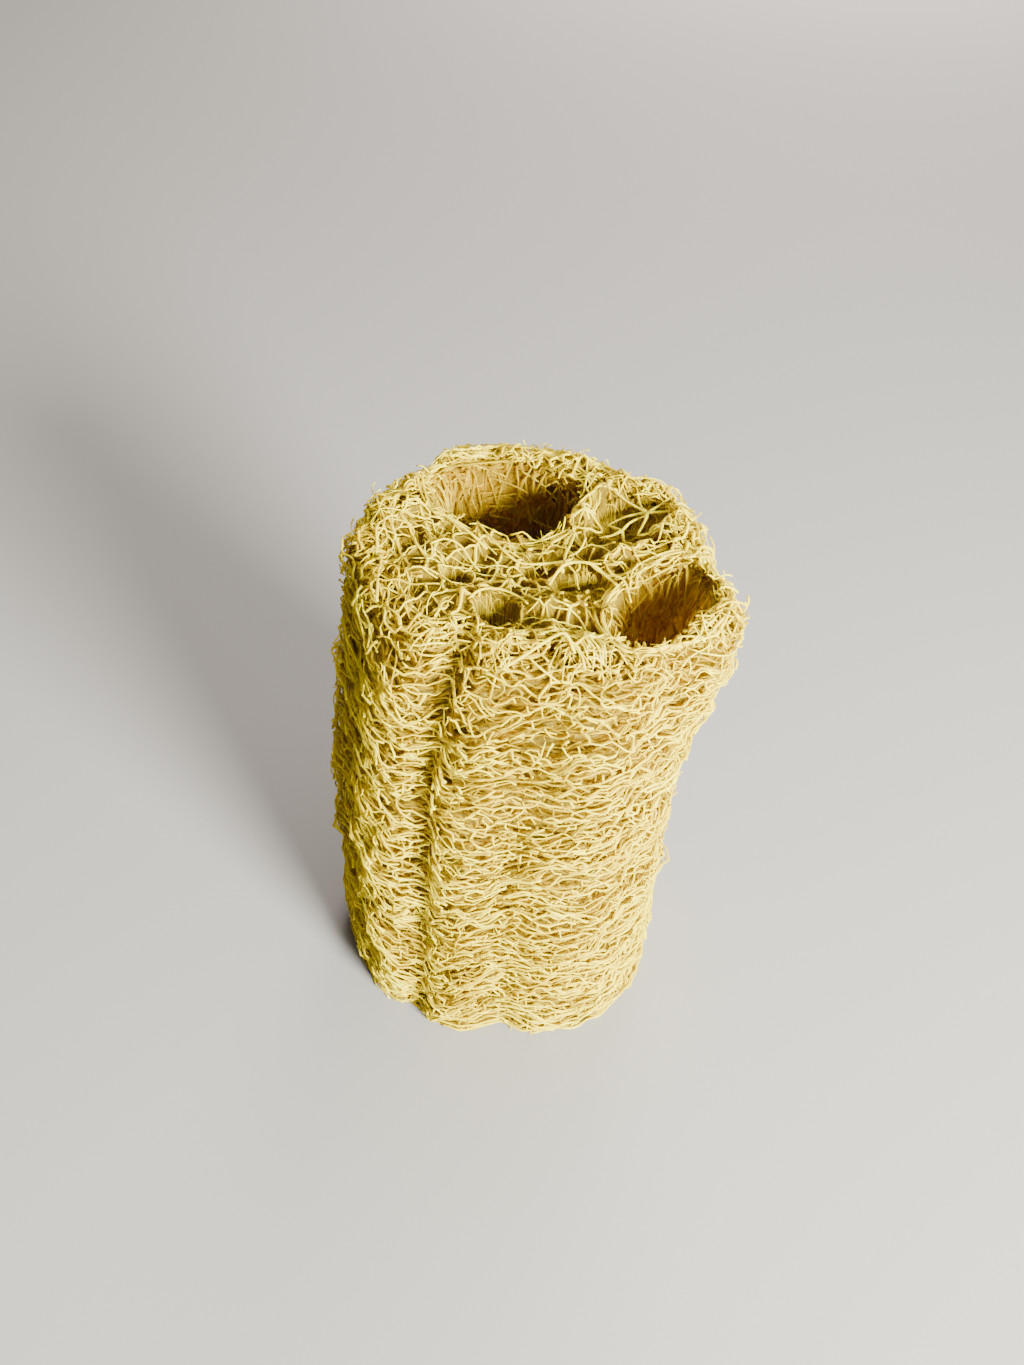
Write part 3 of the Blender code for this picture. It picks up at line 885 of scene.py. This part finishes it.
def netTop():
    bundles = {}
    for order, (depth, cell, width, missing, begin, material) in enumerate(topNets):
        rng = np.random.default_rng(61 + order)
        span = pith["span"]
        corners, pairs, seeds = cellNet(rng, span, span, cell, cell * 0.87, 0.40, 0.10, False)
        middle = span / 2
        turn = rng.uniform(0, math.pi)
        spin = np.array([[math.cos(turn), math.sin(turn)], [-math.sin(turn), math.cos(turn)]])
        corners = (corners - middle) @ spin + pith["middle"]
        seeds = (seeds - middle) @ spin + pith["middle"]
        ridges = []
        for run in netRuns(rng, corners, pairs, missing, 0.0, 9):
            path = smoothPath(run, 3 if order == 0 else 2)
            x, y = path[:, 0] * mm, path[:, 1] * mm
            ridges.append(path)
            # level lifts a fibre out or sinks it in, and its tone follows: the deeper it lies, the darker it
            # is, as painted shade
            level = rng.normal() * 0.2 + 0.15 * rng.normal(size=len(path))
            points, inward = topPoint(x, y, 0.0)
            points[:, 2] += (level - depth) * mm - topRelief(points)
            keep = (inward < 0.965) & (inward > begin + 0.06 * pucker(points))
            keep &= (openingGap(x, y, hollows) > 1.0 * mm) & (openingGap(x, y, pits) > 0.1 * mm)
            for part in clipFibre(points, keep):
                bundle = bundles.setdefault(material.name, [])
                addFibre(bundle, part, width * rng.uniform(0.6, 1.35), rng, 1.4, rng.normal() + level.mean())
        if order == 0:
            firstNet = (np.vstack(ridges), seeds)
    bundleToPiece("upperNet", bundles[outerFibre.name] + mouthBundle, outerFibre)
    bundleToPiece("upperNetMiddle", bundles[middleFibre.name], middleFibre)
    bundleToPiece("upperNetDeep", bundles[innerFibre.name], innerFibre)
    return firstNet


def nearest(spots, x, y):
    # distance to the nearest of some flat places, and which one it is
    tree = KDTree(len(spots))
    for index, spot in enumerate(spots):
        tree.insert((spot[0], spot[1], 0.0), index)
    tree.balance()
    found = [tree.find((float(a), float(b), 0.0)) for a, b in zip(x, y)]
    return np.array([item[2] for item in found]), np.array([item[1] for item in found])


def pitSink(x, y):
    # how near each place is to a pit, 0 to 1, and how far the skin sinks there, in millimetres
    near = np.zeros(np.shape(x))
    sink = np.zeros(np.shape(x))
    for name in [*pits, "small"]:
        deep = pits[name][5] if name in pits else pith["smallSag"]
        size = openingSize(name, x, y)
        inside = unit((1.12 - size) / 0.62)
        inside = inside * inside * (3.0 - 2.0 * inside)
        ring = 0.6 * np.exp(-((size - 0.42) / 0.12) ** 2) if name == "front" else 0.0
        close = unit((1.35 - size) / 0.3)
        near = np.maximum(near, close)
        sink = sink * (1.0 - close) + close * (deep * inside - ring)
    return near, sink


def linePits():
    # fibres that run down into the pits, and some that go round their walls
    rng = np.random.default_rng(83)
    bundle = []
    for name in [*pits, "small"]:
        shape = openings[name]
        for order in range(4 + int(2.2 * ellipseRound(shape[2], shape[3]))):
            t = np.linspace(0.0, 1.0, 9)
            first = rng.uniform(0, 2 * math.pi)
            if order < 4:
                size = rng.uniform(0.35, 0.98) + 0.05 * np.sin(5 * t + first)
                way = first + rng.uniform(0.4, 0.95) * 2 * math.pi * t
            else:
                size = 1.14 - rng.uniform(0.55, 0.95) * t
                way = first + rng.normal() * 0.5 * t
            x, y = ellipsePlace(shape, shape[2] * mm * size * np.cos(way), shape[3] * mm * size * np.sin(way))
            points, _ = topPoint(x, y, 0.0)
            points[:, 2] -= (pitSink(x, y)[1] + 0.1) * mm + topRelief(points)
            addFibre(bundle, points, rng.uniform(0.16, 0.36), rng, 0.7)
    bundleToPiece("pitFibres", bundle, middleFibre)


def feltFibre(rng, short, long, gap=1.2):
    # a wandering path on a flat end
    x = rng.uniform(-34, 38) * mm
    y = rng.uniform(-33, 33) * mm
    reach = rng.uniform(short, long) * mm
    turn = rng.uniform(0, 2 * math.pi)
    count = max(5, int(reach / (gap * mm)))
    t = np.linspace(0.0, 1.0, count)
    turns = turn + rng.normal() * 0.8 * t + 0.3 * np.sin(t * rng.uniform(3, 9) + rng.uniform(0, 6))
    step = reach / (count - 1)
    xs = x + np.concatenate([[0.0], np.cumsum(np.cos(turns[1:]) * step)])
    ys = y + np.concatenate([[0.0], np.cumsum(np.sin(turns[1:]) * step)])
    return xs, ys, t


def pithLie(x, y, ridges, seeds):
    # where the skin lies at flat places, how far in that is, how near the fibres, which cell, and how pale
    points, inward = topPoint(x, y, 0.0)
    away, _ = nearest(ridges, x / mm, y / mm)
    _, cell = nearest(seeds, x / mm, y / mm)
    sag = pith["sag"] * (np.clip(away, 0.0, 2.0) / 2.0) ** 1.4
    # Painted shade: the skin is darker the farther it sags from the fibres
    tones = 0.80 - 0.62 * sag / pith["sag"] + 0.10 * pucker(points)
    near, sink = pitSink(x, y)
    sag = sag * (1.0 - near) + sink
    # Painted shade: in a pit the skin is darker the deeper it sinks
    pitShadeTones = 0.65 - 0.65 * unit(sink / 5.0) + 0.15 * pucker(points)
    tones = tones * (1.0 - near) + near * pitShadeTones
    points[:, 2] -= (0.25 + sag) * mm + topRelief(points)
    return points, inward, away, cell, near, tones


def hairPith(ridges, seeds):
    # fine fibres that lie on the skin and follow it down between the thick ones
    rng = np.random.default_rng(89)
    strands = [feltFibre(rng, 2.5, 7.5, 0.7) for _ in range(pith["hairs"])]
    x = np.concatenate([strand[0] for strand in strands])
    y = np.concatenate([strand[1] for strand in strands])
    points, inward, *_ = pithLie(x, y, ridges, seeds)
    points[:, 2] += rng.uniform(-0.05, 0.25, len(x)) * mm
    keep = (inward < 0.90) & (openingGap(x, y, ["back", "right"]) > 0.6 * mm)
    bundle = []
    start = 0
    for strand in strands:
        part = slice(start, start + len(strand[0]))
        start = part.stop
        for hair in clipFibre(points[part], keep[part]):
            addFibre(bundle, hair, rng.uniform(*pith["hairWidth"]), rng, 0.7)
    return bundle


def pithSheet(ridges, seeds):
    rng = np.random.default_rng(87)
    mesh = bmesh.new()
    bmesh.ops.create_grid(mesh, x_segments=pith["grid"], y_segments=pith["grid"], size=pith["span"] / 2)
    mesh.verts.ensure_lookup_table()
    flat = np.array([vert.co[:2] for vert in mesh.verts]) + pith["middle"]
    x, y = flat[:, 0] * mm, flat[:, 1] * mm
    points, inward, away, cell, near, tones = pithLie(x, y, ridges, seeds)
    fray = unit((inward - pith["ragged"]) / 0.10)
    lost = rng.random(len(seeds))[cell] < pith["open"] + fray
    wide = openingGap(x, y, ["back", "right"]) < 1.6 * mm
    gone = (inward > 0.93) | (lost & (away > 0.5) & (near < 0.2)) | wide
    tones[gone] = goneTone
    for vert, place in zip(mesh.verts, points):
        vert.co = place
    sheetToPiece("pithSheet", mesh, tones, pithSkin)


ridges, seeds = netTop()
pithSheet(ridges, seeds)
linePits()
bundleToPiece("pithFibres", hairPith(ridges, seeds), middleFibre)

feltLook = {"count": 190, "short": 5.0, "long": 14.0, "width": (0.18, 0.36), "seed": 65}


def feltTop():
    # single bright fibres that lie across the net
    rng = np.random.default_rng(feltLook["seed"])
    bundle = []
    while len(bundle) < feltLook["count"]:
        xs, ys, t = feltFibre(rng, feltLook["short"], feltLook["long"])
        points, inward = topPoint(xs, ys, 0.0)
        arch = rng.uniform(0.1, 0.9) * mm * np.sin(math.pi * t)
        points[:, 2] += arch - topRelief(points) - rng.uniform(0, 0.5) * mm
        if rng.random() < np.clip(0.9 - inward.mean(), 0.0, 0.6):
            continue
        for part in clipFibre(points, (inward < 0.97) & (openingGap(xs, ys, openings) > 0.6 * mm)):
            addFibre(bundle, part, rng.uniform(*feltLook["width"]), rng, 0.7, rng.normal() + 0.8)
    return bundle


stars = {"count": 56, "arms": (3, 5), "reach": (1.8, 4.4), "width": 0.52, "seed": 71}


def starKnots():
    # knots where several thick fibres meet, thinning outward
    rng = np.random.default_rng(stars["seed"])
    bundle = []
    made = 0
    while made < stars["count"]:
        x = rng.uniform(-33, 37) * mm
        y = rng.uniform(-31, 33) * mm
        inward, _ = topPlace(x, y)
        if openingGap(x, y, openings) < 1.5 * mm or inward > 0.96:
            continue
        made += 1
        depth = rng.choice([-0.4, 0.0, 0.4, 0.9]) * mm
        arms = rng.integers(*stars["arms"])
        first = rng.uniform(0, 2 * math.pi)
        for arm in range(arms):
            turn = first + 2 * math.pi * (arm + rng.uniform(-0.25, 0.25)) / arms
            reach = rng.uniform(*stars["reach"]) * mm
            t = np.linspace(0.0, 1.0, 6)
            way = turn + rng.normal() * 1.0 * t + 0.3 * np.sin(5.0 * t + first)
            xs = x + reach * t * np.cos(way)
            ys = y + reach * t * np.sin(way)
            points, inward = topPoint(xs, ys, depth)
            points[:, 2] -= 1.0 * mm * t ** 1.6 + topRelief(points)
            width = stars["width"] * rng.uniform(0.7, 1.2) * (1.0 - 0.62 * t ** 0.6)
            if (inward < 1.0).all() and (openingGap(xs, ys, openings) > 0.3 * mm).all():
                addFibre(bundle, points, width, rng, 1.0, rng.normal() + 0.8)
    return bundle


rimFringe = {"count": 150, "seed": 73, "reach": (1.4, 3.8), "width": (0.20, 0.36)}


def fringeRim():
    # short curled fibres that stand up along the rim, many of them forked
    rng = np.random.default_rng(rimFringe["seed"])
    bundle = []
    for _ in range(rimFringe["count"]):
        angle = rng.uniform(0, 2 * math.pi)
        run = topHeight(1.0, angle) + rng.uniform(0.5, 11.0) * mm
        root = skinPoint(angle, run, 0.5 * mm)
        outer = skinPoint(angle, run, -1.0 * mm) - root
        outer /= np.linalg.norm(outer)
        sideways = np.array([-math.sin(angle), math.cos(angle), 0.0])
        onward = np.cross(outer, sideways)
        if openingGap(root[0], root[1], openings) < 0.8 * mm:
            continue
        for _ in range(rng.integers(1, 4)):
            bearing = rng.uniform(0, 2 * math.pi)
            flat = sideways * math.cos(bearing) + onward * math.sin(bearing)
            rise = rng.uniform(0.05, 0.40)
            reach = rng.uniform(*rimFringe["reach"]) * mm
            t = np.linspace(0.0, 1.0, 6)[:, None]
            curl = np.cross(outer, flat) * rng.normal() * 0.4
            points = root + reach * (flat * t + outer * rise * np.sin(t * 2.3) + curl * t ** 2)
            addFibre(bundle, points, rng.uniform(*rimFringe["width"]), rng, 0.7, rng.normal() + 0.6)
    return bundle


looseEnds = {"count": 170, "seed": 75, "reach": (1.0, 3.2), "width": (0.2, 0.36)}


def looseSide():
    # broken ends that curl a little way off the side
    rng = np.random.default_rng(looseEnds["seed"])
    bundle = []
    for _ in range(looseEnds["count"]):
        turns = rng.random()
        run = rng.uniform(1.5, 116) * mm
        reach = rng.uniform(*looseEnds["reach"]) * mm
        slant = rng.normal() * 0.5 + rng.integers(0, 2) * math.pi
        t = np.linspace(0.0, 1.0, 5)
        lift = rng.uniform(0.3, 1.1) * mm * t ** 1.5
        turns = turns + reach * t * math.cos(slant) / girth
        points = sideFibre(turns, run + reach * t * math.sin(slant), 0.3 * mm - lift)
        addFibre(bundle, points, rng.uniform(*looseEnds["width"]), rng, 0.6, rng.normal() + 0.4)
    return bundle


rimLoops = {"count": 250, "seed": 77, "wide": (1.4, 3.8), "high": (0.7, 1.9), "width": (0.24, 0.42)}


def loopRim():
    # curled fibres that lie along the rim as rings and hooks; those that lie deeper take the darker fibre
    # copy, as painted shade
    rng = np.random.default_rng(rimLoops["seed"])
    upper, lower = [], []
    for _ in range(rimLoops["count"]):
        turns = rng.random()
        run = topHeight(1.0, np.interp(turns, walked, around)) + rng.uniform(-10.0, 9.0) * mm
        wide = rng.uniform(*rimLoops["wide"])
        high = rng.uniform(*rimLoops["high"])
        t = rng.uniform(0, 2 * math.pi) + np.linspace(0.0, rng.uniform(0.3, 0.8) * 2 * math.pi, 10)
        lean = rng.normal() * 0.7
        across = wide * np.cos(t) * math.cos(lean) - high * np.sin(t) * math.sin(lean)
        upward = wide * np.cos(t) * math.sin(lean) + high * np.sin(t) * math.cos(lean)
        under = rng.random() < 0.55
        depth = (0.8 if under else 0.0) + 0.5 * np.sin(t + rng.uniform(0, 6))
        points = sideFibre(turns + across * mm / girth, run + upward * mm, depth * mm)
        bundle = lower if under else upper
        for part in clipFibre(points, openOver(points)):
            addFibre(bundle, part, rng.uniform(*rimLoops["width"]), rng, 0.8, rng.normal() + 0.6)
    bundleToPiece("rimLoops", upper, outerFibre)
    bundleToPiece("rimLoopsUnder", lower, middleFibre)


def curvedStrand(bundle, rng, places, width, parts=4):
    # a strand laid through listed places: x, y and height above the upper end, in millimetres
    places = np.array(places)
    points, _ = topPoint(places[:, 0] * mm + body["shift"][0], places[:, 1] * mm + body["shift"][1], 0.0)
    points[:, 2] += places[:, 2] * mm - 0.6 * topRelief(points)
    addFibre(bundle, smoothPath(points, parts), width, rng, 0.8, 1.2)


namedLook = {
    # strands that stand out on the upper end: places in mm, then width
    "bare": ([(-9.5, 8.1, 0.5), (-7.5, 4.5, 1.0), (-5.0, 1.1, 1.1), (-0.8, -1.7, 0.8), (5.7, -0.1, 0.7),
              (8.2, 1.0, 0.6)], 0.50),
    "upperLeft": ([(-18.0, 7.6, 0.2), (-14.9, 6.4, 0.8), (-10.4, 3.0, 0.9), (-7.2, 1.0, 0.4)], 0.55),
    "arch": ([(4.2, -6.6, 0.2), (5.2, -4.3, 0.8), (7.2, -1.4, 1.5), (11.2, -1.9, 1.6), (14.2, -3.6, 1.0),
              (16.2, -6.2, 0.3)], 0.62),
    "archPost": ([(7.2, -1.4, 1.4), (8.8, -3.4, 0.4), (9.2, -5.6, -0.6), (9.4, -7.2, 0.2)], 0.36),
    "riser": ([(6.6, -1.0, 1.2), (7.0, 2.0, 0.9), (7.6, 4.4, 0.8), (8.6, 7.8, 0.6)], 0.50),
    "riserTwig": ([(7.4, 1.2, 0.8), (9.4, 2.6, 1.4), (10.4, 4.4, 1.9)], 0.34),
    "rightSweep": ([(11.2, -1.9, 1.4), (13.6, -3.2, 1.2), (17.0, -5.4, 1.0), (18.6, -8.4, 0.4)], 0.46),
    "leftBrow": ([(-17.1, -1.9, 0.3), (-14.6, -0.2, 0.9), (-11.9, -0.4, 0.9), (-9.6, -3.0, 0.5),
                  (-8.1, -4.6, 0.1)], 0.42),
    "rimArch": ([(-3.2, -28.0, 0.2), (0.8, -26.3, 1.2), (4.6, -24.2, 1.9), (6.9, -24.0, 1.7),
                 (8.6, -26.0, 0.5)], 0.62),
    "rimArchTwig": ([(0.8, -26.3, 1.2), (3.4, -28.0, 0.9), (6.4, -28.6, 0.4)], 0.40),
    "frontBrow": ([(-9.4, -15.2, 0.1), (-7.4, -12.2, 0.7), (-4.2, -10.9, 0.9), (-1.2, -12.2, 0.6),
                   (0.6, -14.6, 0.1)], 0.44),
}
loopLook = [
    # rings of fibre round small eyes: middle, half sizes and width in mm
    (10.6, 10.2, 3.1, 1.9, 0.50), (10.1, 13.7, 2.2, 1.5, 0.42), (-2.0, -4.0, 1.3, 1.2, 0.36),
    (-11.9, -8.0, 3.2, 2.8, 0.28), (24.5, 9.0, 2.4, 1.7, 0.36),
    (-20.5, 6.5, 2.6, 1.8, 0.36), (1.0, -10.0, 1.6, 1.2, 0.32),
]
starLook = [
    # knots over and beside the small hollow: middle, then where each arm ends
    ((21.9, 14.2), [(15.5, 18.5), (20.0, 19.5), (26.6, 18.0), (27.6, 12.6), (20.0, 8.6), (14.6, 11.6)]),
    ((17.2, 9.2), [(14.6, 11.6), (13.0, 6.4), (18.6, 4.6), (21.9, 14.2)]),
    ((30.6, 2.6), [(27.4, 5.4), (33.2, 4.4), (31.8, -1.0), (27.4, 1.2)]),
    ((24.4, 9.8), [(27.9, 7.6), (23.6, 5.2), (20.0, 8.6), (27.6, 12.6)]),
]
starWidths = (0.72, 0.28)  # mm, at the knot and where an arm ends


def namedStrands():
    rng = np.random.default_rng(79)
    bundle = []
    for places, width in namedLook.values():
        curvedStrand(bundle, rng, places, width)
    for x, y, wide, high, width in loopLook:
        t = np.linspace(0.0, 2.0 * math.pi, 15)
        loop = np.stack([x + wide * np.cos(t), y + high * np.sin(t), 0.35 + 0.3 * np.sin(2 * t + x)], axis=-1)
        curvedStrand(bundle, rng, loop, width, 1)
    for knot, ends in starLook:
        for end in ends:
            middle = [(a + b) / 2 + rng.uniform(-0.8, 0.8) for a, b in zip(knot, end)]
            arm = [(*knot, 0.9), (*middle, 0.6), (*end, 0.3)]
            curvedStrand(bundle, rng, arm, np.linspace(*starWidths, 9))
    return bundle


bundleToPiece("upperFibres", feltTop() + starKnots() + namedStrands(), outerFibre)
loopRim()
bundleToPiece("brokenEnds", fringeRim() + looseSide(), outerFibre)
print("upper end made")

# The cut foot: a felt of fibres at every angle

footFelt = {"layers": [(0.0, 620, (0.4, 0.9)), (0.9, 520, (0.5, 1.0))], "seed": 63}


def feltFoot():
    rng = np.random.default_rng(footFelt["seed"])
    bundle = []
    for depth, count, widths in footFelt["layers"]:
        made = 0
        while made < count:
            xs, ys, t = feltFibre(rng, 4.0, 12.0)
            angle = np.arctan2(ys - bodyColumn(0.0, 2), xs - bodyColumn(0.0, 1))
            share = np.hypot(xs - bodyColumn(0.0, 1), ys - bodyColumn(0.0, 2)) / bodyRadius(angle, 0.0)
            height = (depth + 0.45) * mm + rng.uniform(0, 0.7) * mm * np.sin(math.pi * t)
            points = np.stack([xs, ys, height], axis=-1)
            keep = (share < 0.965) & (openingGap(xs, ys, hollows) > -0.6 * mm)
            for part in clipFibre(points, keep):
                made += 1
                addFibre(bundle, part, rng.uniform(*widths), rng, 0.7)
    bundleToPiece("footFelt", bundle, middleFibre)


feltFoot()

# The mat deep in the wall, behind all the nets

coreShape = {
    "depth": 4.2,     # mm behind the skin
    "foot": 2.6,      # mm above the floor
    "around": 96,
    "rows": 40,
    # mm behind each opening's lining
    "clear": {"back": 4.2, "right": 3.6, "small": 3.8, "front": 0.2, "left": 0.0, "arch": 0.0},
}


def latheCore():
    # rings of the outline, a few millimetres in from the skin, closed at both ends
    mesh = bmesh.new()
    bmesh.ops.create_circle(mesh, cap_ends=False, segments=coreShape["around"], radius=1.0)
    loop = mesh.edges[:]
    rings = [sorted(mesh.verts, key=lambda v: math.atan2(v.co.y, v.co.x))]
    # share of the height and of the radius: over the foot, up the side and in along the upper end
    rows = [(0.0, inward) for inward in (0.30, 0.62, 0.90)]
    rows += [(share, 1.0) for share in np.linspace(0.03, 0.945, coreShape["rows"])]
    rows += [(1.0, inward) for inward in (0.90, 0.66, 0.35, 0.12)]
    for _ in rows[1:]:
        made = bmesh.ops.extrude_edge_only(mesh, edges=loop)["geom"]
        loop = [item for item in made if isinstance(item, bmesh.types.BMEdge)]
        verts = [item for item in made if isinstance(item, bmesh.types.BMVert)]
        rings.append(sorted(verts, key=lambda v: math.atan2(v.co.y, v.co.x)))
    for verts, (share, inward) in zip(rings, rows):
        for vert in verts:
            angle = math.atan2(vert.co.y, vert.co.x)
            radius = float(bodyRadius(angle, share) - coreShape["depth"] * mm) * inward
            height = share * body["height"]
            if share == 0.0:
                height = coreShape["foot"] * mm
            elif share == 1.0:
                height = float(topHeight(inward * 0.9, angle)) - coreShape["depth"] * mm * 1.15
            vert.co = (bodyColumn(share, 1) + radius * math.cos(angle),
                       bodyColumn(share, 2) + radius * math.sin(angle), height)
    bmesh.ops.holes_fill(mesh, edges=[edge for edge in mesh.edges if edge.is_boundary], sides=0)
    bmesh.ops.recalc_face_normals(mesh, faces=mesh.faces[:])
    return mesh


def hollowCutter(name):
    shape = openings[name]
    grow = coreShape["clear"][name]
    foot = -6 * mm if name in hollows else body["height"] - (shape[5] + 3) * mm
    top = body["height"] + 4 * mm
    size = ((shape[2] + grow) * mm, (shape[3] + grow) * mm, top - foot)
    spin = Matrix.Rotation(math.radians(shape[4]), 3, "Z")
    middle = (*ellipsePlace(shape, 0.0, 0.0), (top + foot) / 2)
    mesh = bmesh.new()
    bmesh.ops.create_cone(mesh, cap_ends=True, segments=28, radius1=1.0, radius2=1.0, depth=1.0)
    bmesh.ops.scale(mesh, verts=mesh.verts, vec=size)
    bmesh.ops.rotate(mesh, verts=mesh.verts, cent=(0, 0, 0), matrix=spin)
    bmesh.ops.translate(mesh, verts=mesh.verts, vec=middle)
    return meshToObject("cutter", mesh, matFibre)


core = meshToObject("innerMat", latheCore(), matFibre)
for name in coreShape["clear"]:
    cutter = hollowCutter(name)
    cut = core.modifiers.new("cut", "BOOLEAN")
    cut.operation = "DIFFERENCE"
    cut.solver = "EXACT"
    cut.object = cutter
    bpy.context.view_layer.objects.active = core
    bpy.ops.object.modifier_apply(modifier=cut.name)
    bpy.data.objects.remove(cutter, do_unlink=True)
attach(core, "root")
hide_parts("loofah_sponge")
print("core cut")

# Floor, light and camera

floorMesh = bmesh.new()
bmesh.ops.create_grid(floorMesh, x_segments=1, y_segments=1, size=3.0)
floorPaint, tree = newMaterial("matPaleFloor")
shader = addNode(tree, "BsdfPrincipled", {"Base Color": linear("94928F"), "Roughness": 0.9})
addNode(tree, "OutputMaterial", {}, Surface=shader.outputs[0])
floor = meshToObject("floor", floorMesh, floorPaint)

studio = {
    # place, size in metres, power in watts, colour
    "key": ((0.475, -0.535, 0.32), 0.28, 52.0, "FDFDF4"),
    "fill": ((0.20, 0.08, 0.95), 0.80, 7.5, "FFF8F2"),
    "back": ((0.35, 1.50, 0.75), 0.90, 44.0, "FFF8F2"),
}
for name, (place, size, power, colour) in studio.items():
    lamp = bpy.data.lights.new(name, "AREA")
    lamp.shape = "DISK"
    lamp.size = size
    lamp.energy = power
    lamp.color = linear(colour)[:3]
    holder = newObject(name, lamp)
    holder.location = place
    aim = Vector((0.0, 0.0, body["height"] / 2)) - Vector(place)
    holder.rotation_euler = aim.to_track_quat("-Z", "Y").to_euler()

world = bpy.data.worlds.new("studioAir")
world.use_nodes = True
air = world.node_tree.nodes["Background"]
air.inputs["Color"].default_value = linear("E6D8D6")
air.inputs["Strength"].default_value = 0.09
bpy.context.scene.world = world

shot = {
    # place in metres, how far down it looks and how far it is rolled in degrees, lens in millimetres
    "place": (-0.00025, -0.14635, 0.23047),
    "pitch": 45.0,
    "roll": 4.0,
    "lens": 27.03,
}
camera = bpy.data.cameras.new("photoCamera")
camera.sensor_fit = "AUTO"
camera.sensor_width = 36.0
camera.lens = shot["lens"]
camera.clip_start = 0.01
viewer = newObject("photoCamera", camera)
pitch = math.radians(shot["pitch"])
roll = math.radians(shot["roll"])
right = Vector((1, 0, 0))
upward = Vector((0, math.sin(pitch), math.cos(pitch)))
turnedRight = math.cos(roll) * right + math.sin(roll) * upward
turnedUp = -math.sin(roll) * right + math.cos(roll) * upward
behind = turnedRight.cross(turnedUp)
axes = zip(turnedRight, turnedUp, behind, shot["place"])
viewer.matrix_world = Matrix((*axes, (0, 0, 0, 1)))
bpy.context.scene.camera = viewer
